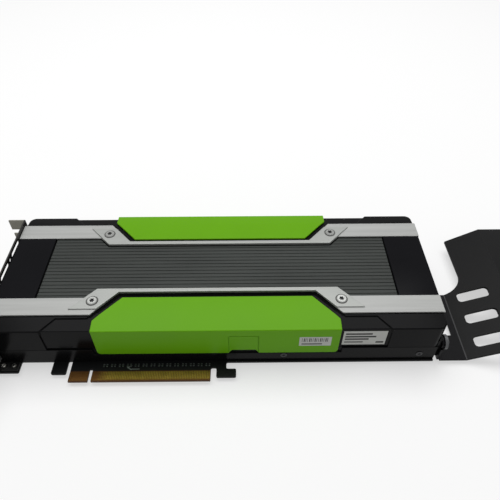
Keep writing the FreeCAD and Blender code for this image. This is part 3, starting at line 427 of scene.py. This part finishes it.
# The painted shade ring reaches as far out as the screws' plain heads.
painted_ring_shade = (0.07, 0.07, 0.068)
shade_ring_radius, shade_ring_inner = 3.7 * MM, 2.6 * MM
low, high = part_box("trim_screws")
tree, x, y, z = spot(trim_silver)
# Painted shade: a dark ring on the trim round each screw head.
for screw_x in (low.x + shade_ring_radius, high.x - shade_ring_radius):
    for screw_y in (low.y + shade_ring_radius, high.y - shade_ring_radius):
        away = add(tree, "ShaderNodeVectorMath", {0: offset(tree, X=x, Y=y),
                                                  1: (screw_x, screw_y, 0.0)},
                   operation="DISTANCE")
        painted(trim_silver, within(tree, away.outputs["Value"], shade_ring_inner, shade_ring_radius),
                painted_ring_shade)
for name in ("near_trim", "far_trim"):
    broken_edges(name, trim_silver, width=0.25)

# ---------------------------------------------------------------- trim screws
# Polished steel screws with a broad flat head and a star recess, two through each trim,
# down into the duct's deck.

heads, given = new_group("screw_heads", finishes=("Finish", "Recess Shade"),
                         sizes=("Radius", "Height", "Rim", "Recess", "Depth", "Lobes",
                                "Lobe Share"))


def drawn_out(mesh, length, scale, top=True):
    """Extrude the top face, then scale it about its middle."""
    out = add(heads, "GeometryNodeExtrudeMesh", {"Mesh": mesh, "Selection": top,
                                                 "Offset Scale": length,
                                                 "Individual": False})
    sized = add(heads, "GeometryNodeScaleElements", {"Geometry": out.outputs["Mesh"],
                                                     "Selection": out.outputs["Top"],
                                                     "Scale": scale})
    return sized.outputs["Geometry"], out.outputs


recess_taper = 0.86
disc = add(heads, "GeometryNodeMeshCircle", {"Vertices": 36, "Radius": given["Radius"]},
           fill_type="NGON")
under = add(heads, "GeometryNodeFlipFaces", {"Mesh": disc.outputs["Mesh"]})
face_radius = figure(heads, "SUBTRACT", given["Radius"], given["Rim"])
mesh, drawn = drawn_out(disc.outputs["Mesh"],
                        figure(heads, "SUBTRACT", given["Height"], given["Rim"]), 1.0)
mesh, drawn = drawn_out(mesh, given["Rim"],
                        figure(heads, "DIVIDE", face_radius, given["Radius"]), drawn["Top"])
mesh, drawn = drawn_out(mesh, 0.0, figure(heads, "DIVIDE", given["Recess"], face_radius),
                        drawn["Top"])
corner = add(heads, "ShaderNodeSeparateXYZ", {
    "Vector": add(heads, "GeometryNodeInputPosition").outputs["Position"]}).outputs
round_by = figure(heads, "ARCTAN2", corner["Y"], corner["X"])
wave = figure(heads, "COSINE", figure(heads, "MULTIPLY", round_by, given["Lobes"]))
pinch = figure(heads, "SUBTRACT", 1.0,
               figure(heads, "MULTIPLY", figure(heads, "SUBTRACT", 1.0, wave),
                      given["Lobe Share"]))
star = add(heads, "GeometryNodeSetPosition", {
    "Geometry": mesh, "Selection": drawn["Top"],
    "Position": offset(heads, X=figure(heads, "MULTIPLY", corner["X"], pinch),
                       Y=figure(heads, "MULTIPLY", corner["Y"], pinch), Z=corner["Z"])})
mesh, drawn = drawn_out(star.outputs["Geometry"],
                        figure(heads, "MULTIPLY", given["Depth"], -1.0), recess_taper,
                        drawn["Top"])
mesh = marked(heads, mesh, "recess", figure(heads, "MAXIMUM", drawn["Top"], drawn["Side"]))
closed = add(heads, "GeometryNodeJoinGeometry", {"Geometry": [mesh, under.outputs["Mesh"]]})
head = add(heads, "GeometryNodeMergeByDistance", {"Geometry": closed.outputs["Geometry"],
                                                  "Distance": 0.001 * MM})
facing = add(heads, "GeometryNodeInputNamedAttribute", {"Name": "facing"},
             data_type="FLOAT_VECTOR")
aimed = add(heads, "FunctionNodeAlignRotationToVector",
            {"Vector": facing.outputs["Attribute"]}, axis="Z")
finished(heads, placed(heads, given["Geometry"], head.outputs["Geometry"],
                       Rotation=aimed.outputs["Rotation"]),
         given["Finish"], "recess", given["Recess Shade"])

# Painted shade: a near-black finish for the screws' recess walls and floors, darker than their
# heads.
painted_recess_shade = grained("painted_recess_shade", (0.018, 0.018, 0.019), 0.5, metal=0.3, specular=0.2)


def plain_heads(name):
    """The lowest and highest corner of each plain head in a frame piece."""
    build = merged(name)
    seen, boxes = set(), []
    for first in build.verts:
        if first in seen:
            continue
        head, to_visit = [], [first]
        seen.add(first)
        while to_visit:
            vert = to_visit.pop()
            head.append(vert.co)
            for edge in vert.link_edges:
                other = edge.other_vert(vert)
                if other not in seen:
                    seen.add(other)
                    to_visit.append(other)
        boxes.append((Vector([min(co[i] for co in head) for i in range(3)]),
                      Vector([max(co[i] for co in head) for i in range(3)])))
    build.free()
    return boxes


def screws(name, finish, rim, recess, depth, lobes, lobe_share, radius_share=1.0):
    """Turned heads in place of a frame piece's plain ones, facing away from the board."""
    board_low, board_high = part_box("circuit_board")
    middle = (board_low + board_high) / 2
    seats, ways = [], []
    for low, high in plain_heads(name):
        size = high - low
        axis = min(range(3), key=lambda i: size[i])
        seat = (low + high) / 2
        way = Vector((0.0, 0.0, 0.0))
        way[axis] = 1.0 if seat[axis] > middle[axis] else -1.0
        seat[axis] = low[axis] if way[axis] > 0 else high[axis]
        seats.append(seat)
        ways.append(way)
    head_wide, head_high = max(size), min(size)
    points = bpy.data.meshes.new(name + "_seats")
    points.from_pydata(seats, [], [])
    facing = points.attributes.new("facing", "FLOAT_VECTOR", "POINT")
    for i, way in enumerate(ways):
        facing.data[i].vector = way
    grown(name + "_piece", points, heads, {
        "Radius": head_wide / 2 * radius_share, "Height": head_high, "Rim": rim * MM,
        "Recess": recess * MM, "Depth": depth * MM, "Lobes": float(lobes),
        "Lobe Share": lobe_share, "Finish": finish, "Recess Shade": painted_recess_shade},
          name)


trim_screw = grained("trim_screw", (0.27, 0.275, 0.265), 0.28, metal=0.8, mottle=0.15)
screws("trim_screws", trim_screw, rim=0.45, recess=1.6, depth=0.55, lobes=6,
       lobe_share=0.18, radius_share=0.84)

# ---------------------------------------------------------------- side screws
# Small screws that clamp the shroud to the base frame from both sides.  Turned steel with
# a cross recess, finished in black oxide.

screw_steel = grained("screw_steel", (0.03, 0.03, 0.032), 0.32, metal=0.6, mottle=0.2)
screws("side_screws", screw_steel, rim=0.12, recess=1.1, depth=0.3, lobes=4,
       lobe_share=0.22)

# ---------------------------------------------------------------- back plate and its screws
# Matt black coated steel sheet on short posts behind the board.  Six screws hold it to the
# board, and four through its middle pull the heatsink down.

back_black = grained("back_black", (0.014, 0.014, 0.0145), 0.5, grain=0.25, specular=0.25)
broken_edges("backplate", back_black, width=0.15)
screws("backplate_screws", screw_steel, rim=0.2, recess=1.4, depth=0.55,
       lobes=6, lobe_share=0.14)
screws("heatsink_screws", screw_steel, rim=0.2, recess=1.4, depth=0.55,
       lobes=4, lobe_share=0.22)

# ---------------------------------------------------------------- I/O bracket and its screws
# Nickel plated sheet steel, 0.86 mm, folded: tab with two notches, vented face and tongue.
# Its inner side and cut edges get a painted shade, and its painted foot is screwed to the board.

bracket_steel = grained("bracket_steel", (0.17, 0.165, 0.14), 0.38, mottle=0.15,
                        mottle_size=60.0)
plating_metal = 0.75
painted_inner_shade, foot_black = (0.028, 0.027, 0.025), (0.007, 0.007, 0.007)
outer_skin, shade_depth = 0.05 * MM, 1.3 * MM
foot_margin, foot_reach, foot_top = 1.6 * MM, 9.0 * MM, 0.2 * MM
tree, x, y, z = spot(bracket_steel)
outer_face = max((face for face in nodes["io_bracket"].data.polygons if face.normal.x < -0.9),
                 key=lambda face: face.area).center.x
# Painted shade: the inner side and cut edges, behind the outer skin, are darkened.
painted(bracket_steel, within(tree, x, outer_face + outer_skin, outer_face + shade_depth), painted_inner_shade)
low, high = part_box("bracket_screws")
foot = figure(tree, "MULTIPLY", within(tree, x, low.x - foot_margin, high.x + foot_reach),
              within(tree, z, low.z - foot_margin, low.z + foot_top))
painted(bracket_steel, foot, foot_black)
wire(tree, tree.nodes["Principled BSDF"],
     {"Metallic": figure(tree, "MULTIPLY_ADD", foot, -plating_metal, plating_metal)})
broken_edges("io_bracket", bracket_steel, width=0.12)

plated_screw = grained("plated_screw", (0.30, 0.295, 0.27), 0.3, metal=0.9)
screws("bracket_screws", plated_screw, rim=0.25, recess=0.7, depth=0.5,
       lobes=4, lobe_share=0.22, radius_share=0.72)

# ---------------------------------------------------------------- power socket
# Eight-way socket for the power cable: a black plastic moulding round tinned pins,
# soldered at the board's tail.

socket_plastic = grained("socket_plastic", (0.012, 0.012, 0.012), 0.45, grain=0.15)
broken_edges("power_socket", socket_plastic, width=0.15)
dress(grained("pin_tin", (0.6, 0.58, 0.52), 0.3, metal=1.0), "power_pins")

# ---------------------------------------------------------------- tail extender bracket
# Black coated sheet steel, folded to a foot, a ramp with three slots and a lip, and
# screwed to the duct's two ears.  A painted shade darkens the foot, and a painted highlight
# runs along the first fold.

extender_steel = grained("extender_steel", (0.0065, 0.0065, 0.0068), 0.38, grain=0.2,
                         specular=0.08)
painted_foot_shade, painted_fold_highlight = (0.0035, 0.0035, 0.0045), (0.06, 0.06, 0.062)
slightest_fold, steepest_fold = math.radians(5.0), math.radians(60.0)
shortest_fold, most_aslant = 25.0 * MM, 0.1 * MM
build = merged("extender_bracket")
folds = [edge.verts[0].co.x for edge in build.edges
         if edge.calc_length() > shortest_fold
         and abs(edge.verts[0].co.x - edge.verts[1].co.x) < most_aslant
         and slightest_fold < edge.calc_face_angle(0.0) < steepest_fold]
build.free()
highlight_start, highlight_end = min(folds) - 0.4 * MM, min(folds) + 0.35 * MM
tree, x, y, z = spot(extender_steel)
# Painted shade darkens the foot, and a painted highlight runs along the first fold.
painted(extender_steel, within(tree, x, 0.0, highlight_start), painted_foot_shade)
painted(extender_steel, within(tree, x, highlight_start, highlight_end), painted_fold_highlight)
broken_edges("extender_bracket", extender_steel, width=0.2)

worn_steel = grained("worn_steel", (0.09, 0.092, 0.095), 0.34, metal=0.6, mottle=0.3)
screws("extender_screws", worn_steel, rim=0.5, recess=1.9, depth=1.0, lobes=6,
       lobe_share=0.14)

# ---------------------------------------------------------------- labels
# Two paper labels, printed with plain dark bars and glued on, one in the shroud's side
# recess and one on the near cover.


def label(name, bars):
    """Paper with printed bars: start and end along it, low and high up it, and their ink."""
    paper = grained(name + "_paper", (0.60, 0.61, 0.58), 0.55, specular=0.15)
    tree, x, y, z = spot(paper)
    low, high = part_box(name)
    size = high - low
    for start, end, bottom, top, ink in bars:
        along = within(tree, x, low.x + start * size.x, low.x + end * size.x)
        up = within(tree, z, low.z + bottom * size.z, low.z + top * size.z)
        painted(paper, figure(tree, "MULTIPLY", along, up), (ink, ink, ink))
    dress(paper, name)


label("side_label", [(0.05, 0.66, 0.74, 0.85, 0.03), (0.05, 0.76, 0.54, 0.65, 0.03),
                     (0.05, 0.60, 0.36, 0.47, 0.04), (0.05, 0.48, 0.15, 0.24, 0.08),
                     (0.78, 0.96, 0.12, 0.24, 0.04)])
bar_widths, bar_pitch = (0.016, 0.034, 0.022), 0.056
bar_starts = [0.08 + bar_pitch * i for i in range(15)]
label("cover_label", [(bar, bar + bar_widths[i % 3], 0.46, 0.86, 0.06)
                      for i, bar in enumerate(bar_starts)] + [(0.08, 0.72, 0.14, 0.28, 0.12)])

# ---------------------------------------------------------------- floor, light and camera
# A pale floor that keeps the card's shadow, an even pale surround and one large soft lamp
# above and a little behind the card.  The camera looks down on it from the fingers' side.


def seen_directly(tree):
    """1 for rays from the camera and for mirrored and refracted ones, else 0."""
    rays = add(tree, "ShaderNodeLightPath").outputs
    return figure(tree, "MAXIMUM", rays["Is Transmission Ray"],
                  figure(tree, "MAXIMUM", rays["Is Camera Ray"], rays["Is Glossy Ray"]))


low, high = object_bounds()
reach, floor_glow = 3.0, 0.55
shade_white, seen_white = (0.80, 0.80, 0.80), (0.50, 0.50, 0.50)
floor_mesh = bpy.data.meshes.new("floor")
floor_mesh.from_pydata([(-reach, -reach, low.z), (reach, -reach, low.z),
                        (reach, 2 * reach, low.z), (-reach, 2 * reach, low.z)], [],
                       [(0, 1, 2, 3)])
floor = bpy.data.objects.new("floor", floor_mesh)
bpy.context.scene.collection.objects.link(floor)
floor_paint = grained("floor_paint", shade_white, 0.8, mottle=0.01, mottle_size=6.0,
                      grain=0.0, specular=0.0)
tree = floor_paint.node_tree
direct = seen_directly(tree)
painted(floor_paint, direct, seen_white)
wire(tree, tree.nodes["Principled BSDF"],
     {"Emission Color": (1.0, 1.0, 1.0, 1.0),
      "Emission Strength": figure(tree, "MULTIPLY", direct, floor_glow)})
floor_mesh.materials.append(floor_paint)

world = bpy.data.worlds.new("surround")
bpy.context.scene.world = world
world.use_nodes = True
tree = world.node_tree
level = add(tree, "ShaderNodeMapRange", {"Value": seen_directly(tree), "To Min": 0.30,
                                         "To Max": 1.0})
wire(tree, tree.nodes["Background"], {"Color": (1.0, 1.0, 1.0, 1.0),
                                      "Strength": level.outputs["Result"]})

lamp = bpy.data.lights.new("soft_lamp", "AREA")
lamp.shape = "RECTANGLE"
lamp.size = 1.2
lamp.size_y = 0.8
lamp.energy = 9.8
soft_lamp = bpy.data.objects.new("soft_lamp", lamp)
soft_lamp.location = (0.05, 0.42, 1.1)
card_middle = Vector((0.08, 0.06, 0.0))
aim = card_middle - soft_lamp.location
soft_lamp.rotation_euler = aim.to_track_quat("-Z", "Y").to_euler()
bpy.context.scene.collection.objects.link(soft_lamp)

camera_data = bpy.data.cameras.new("camera")
camera_data.lens = 35.94
camera_data.sensor_width = 36.0
camera_data.clip_start = 0.01
camera = bpy.data.objects.new("camera", camera_data)
stand = Vector((94.7, -153.6, 267.3)) * MM
turn, dip = math.radians(0.61), math.radians(45.52)
ahead = Vector((math.sin(turn) * math.cos(dip), math.cos(turn) * math.cos(dip),
                -math.sin(dip)))
right = Vector((math.cos(turn), -math.sin(turn), 0.0))
axes = Matrix((right, right.cross(ahead), -ahead)).transposed().to_4x4()
camera.matrix_world = Matrix.Translation(stand) @ axes
bpy.context.scene.collection.objects.link(camera)
bpy.context.scene.camera = camera
bpy.context.scene.view_settings.view_transform = "Standard"
